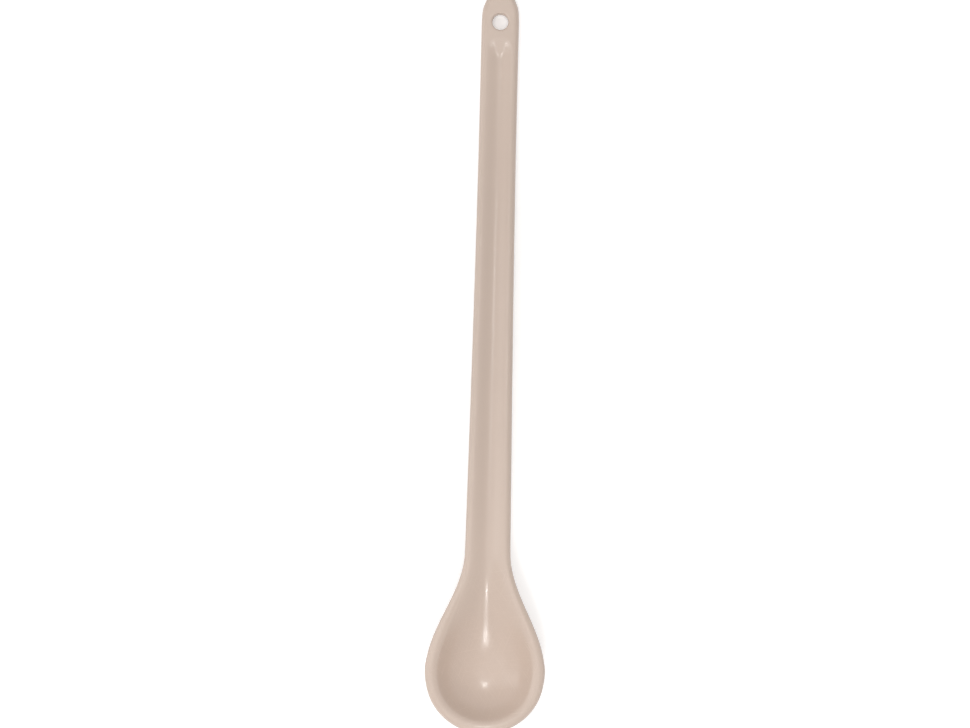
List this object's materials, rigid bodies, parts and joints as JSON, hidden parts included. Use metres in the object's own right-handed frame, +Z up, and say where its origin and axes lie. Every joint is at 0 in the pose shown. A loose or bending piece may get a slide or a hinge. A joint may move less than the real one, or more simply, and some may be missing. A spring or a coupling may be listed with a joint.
{
  "type": "long-handled spoon",
  "caption": "Long-handled kitchen spoon moulded in one glossy plastic, with a deep round bowl, a thick rim, a trough along the handle and a hanging hole at its end.",
  "frame": {"origin": "on the table under the middle of the spoon's length and width, as it lies on its back", "axes": "+X to the right seen from above with the bowl nearest, +Y along the spoon from the bowl to the hanging end, +Z up out of the bowl's mouth"},
  "size_m": [0.0484, 0.3, 0.0166],
  "materials": {
    "moulding": "glossy, solid dusty beige-pink"
  },
  "bodies": {
    "root": {"bowl": "moulding", "neck": "moulding", "handle": "moulding", "hanging_end": "moulding"}
  },
  "joints": []
}
